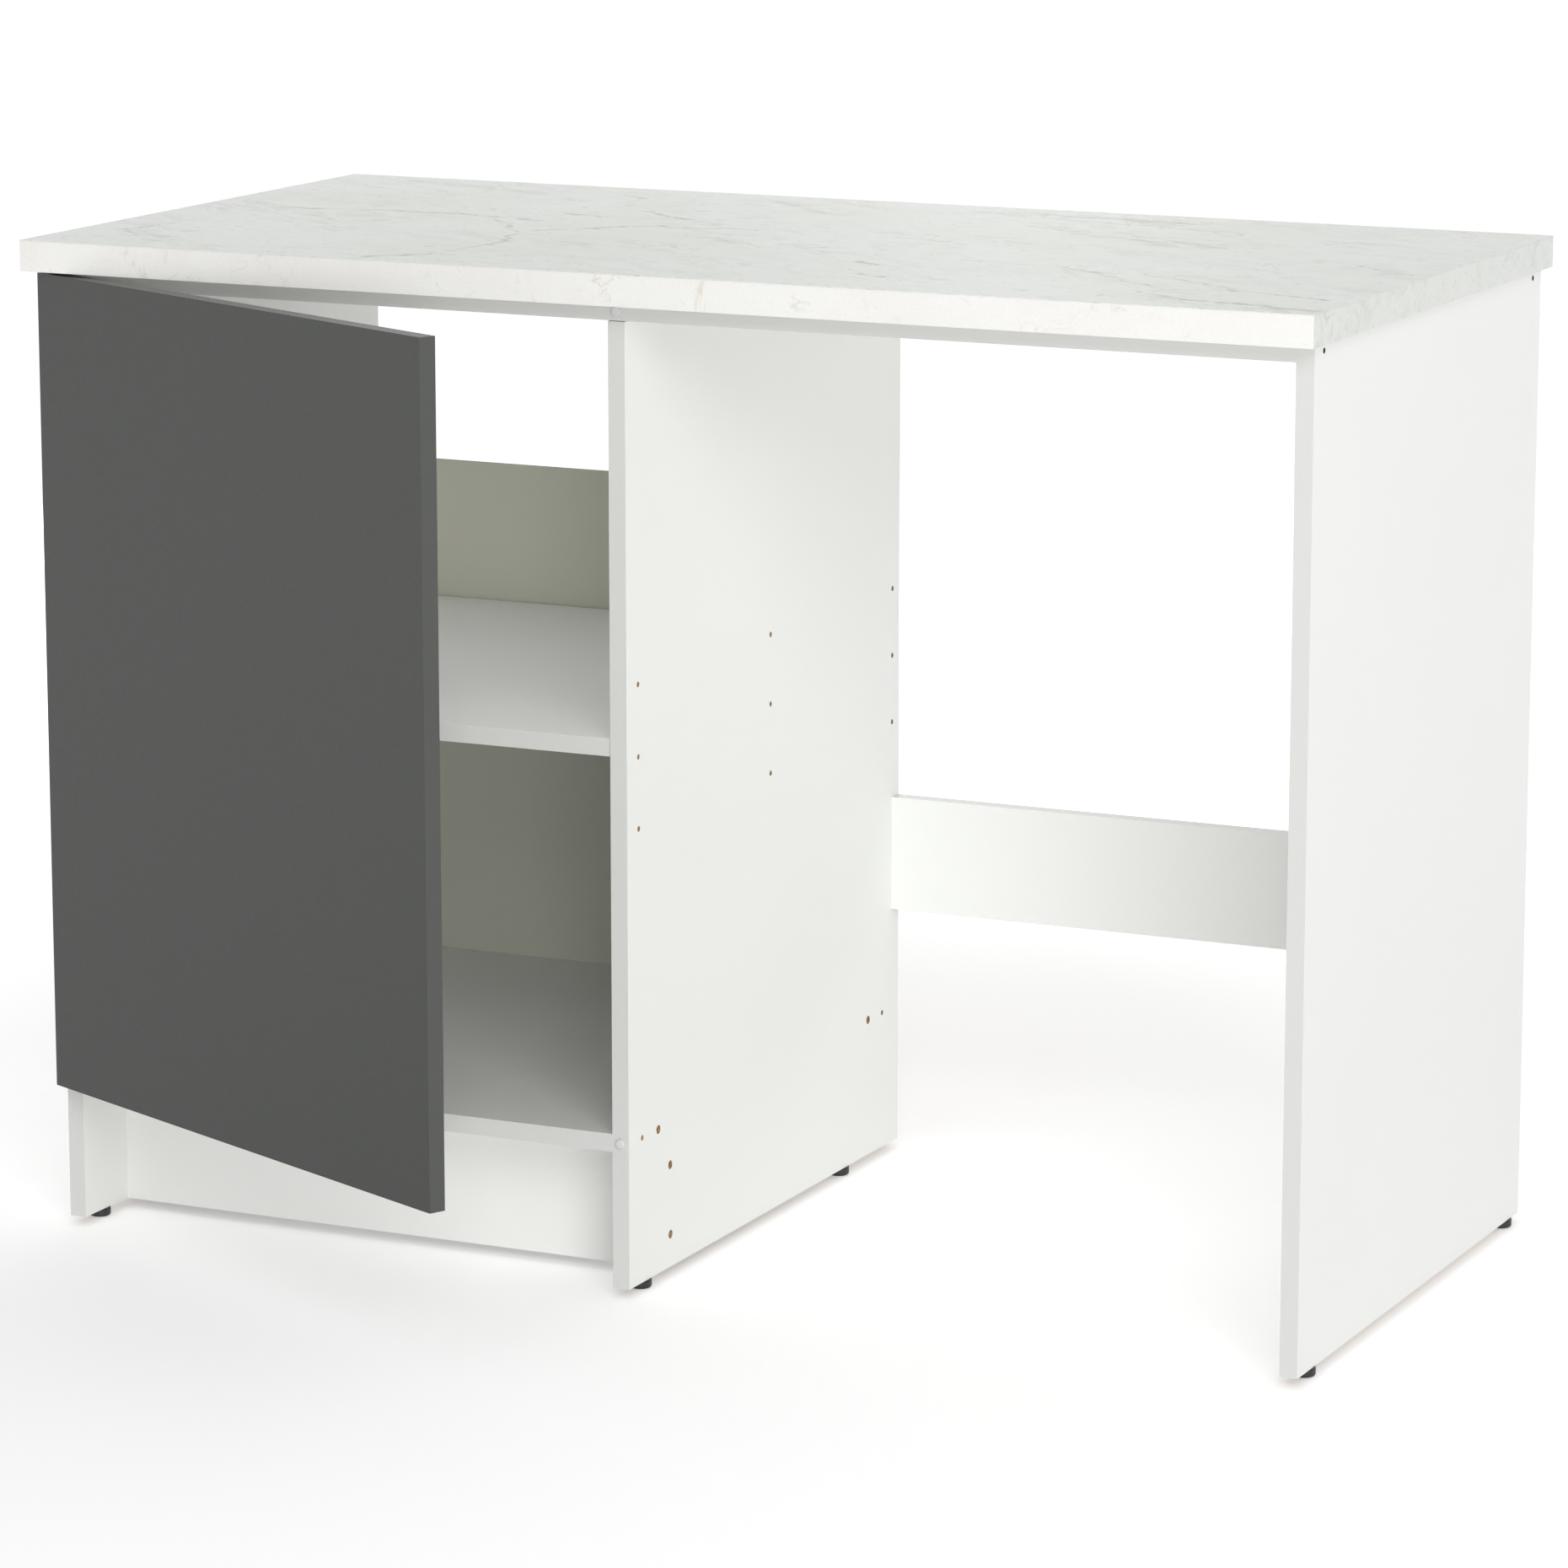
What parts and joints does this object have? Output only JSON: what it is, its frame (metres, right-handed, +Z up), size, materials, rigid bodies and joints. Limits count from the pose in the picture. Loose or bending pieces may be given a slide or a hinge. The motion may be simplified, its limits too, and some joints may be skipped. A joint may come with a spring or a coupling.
{
  "type": "kitchen base cabinet",
  "caption": "Kitchen base cabinet: stone-look worktop over a cupboard with a hinged grey door and a shelf, and an open bay beside it.",
  "frame": {"origin": "on the floor, at the centre of the left front foot", "axes": "+X to the right along the worktop, +Y to the back, +Z up"},
  "size_m": [1.22, 0.8352, 0.91],
  "materials": {
    "white_foil": "satin white foil on chipboard",
    "grey_foil": "matt dark grey foil",
    "stone_laminate": "pale stone-look laminate, satin",
    "chipboard": "raw chipboard",
    "hardboard": "painted hardboard",
    "beech": "raw beech",
    "steel": "zinc or nickel plated",
    "black_plastic": "moulded",
    "clear_plastic": "soft translucent plastic"
  },
  "bodies": {
    "carcass": {"back_panel": "hardboard", "back_panel_nails": "steel", "bottom_panel": "white_foil", "bottom_panel_dowels": "beech", "cam_bolts": "steel", "cam_nuts": "steel", "front_rail": "white_foil", "hinge_arm_screws": "steel", "hinge_plate_screws": "steel", "left_front_foot": "black_plastic", "left_rear_foot": "black_plastic", "left_side_panel": "white_foil", "lower_door_bumper": "clear_plastic", "lower_hinge_arm": "steel", "lower_hinge_plate": "steel", "middle_front_foot": "black_plastic", "middle_panel_screws": "steel", "middle_rear_foot": "black_plastic", "middle_side_panel": "white_foil", "plinth": "white_foil", "plinth_dowels": "beech", "rail_dowels": "beech", "rail_screws": "steel", "rear_rail": "white_foil", "right_end_panel": "white_foil", "right_front_foot": "black_plastic", "right_rear_foot": "black_plastic", "shelf_pins": "steel", "stretcher": "white_foil", "stretcher_dowels": "beech", "upper_door_bumper": "clear_plastic", "upper_hinge_arm": "steel", "upper_hinge_plate": "steel", "worktop_board": "chipboard", "worktop_front_edging": "stone_laminate", "worktop_laminate": "stone_laminate", "worktop_left_edging": "stone_laminate", "worktop_right_edging": "stone_laminate", "worktop_screws": "steel"},
    "door": {"door": "grey_foil", "lower_hinge_cup": "steel", "lower_hinge_pin": "steel", "upper_hinge_cup": "steel", "upper_hinge_pin": "steel", "hinge_cup_screws": "steel"},
    "shelf": {"shelf": "white_foil"}
  },
  "joints": [
    {"name": "door_hinge", "type": "hinge", "parent": "carcass", "child": "door", "pos_m": [-0.0008, -0.0505, 0.50725], "axis": [0, 0, -1], "range_deg": [-25, 70]},
    {"name": "shelf_lift", "type": "slide", "parent": "carcass", "child": "shelf", "axis": [0, 0, 1], "range_m": [0, 0.064]}
  ]
}
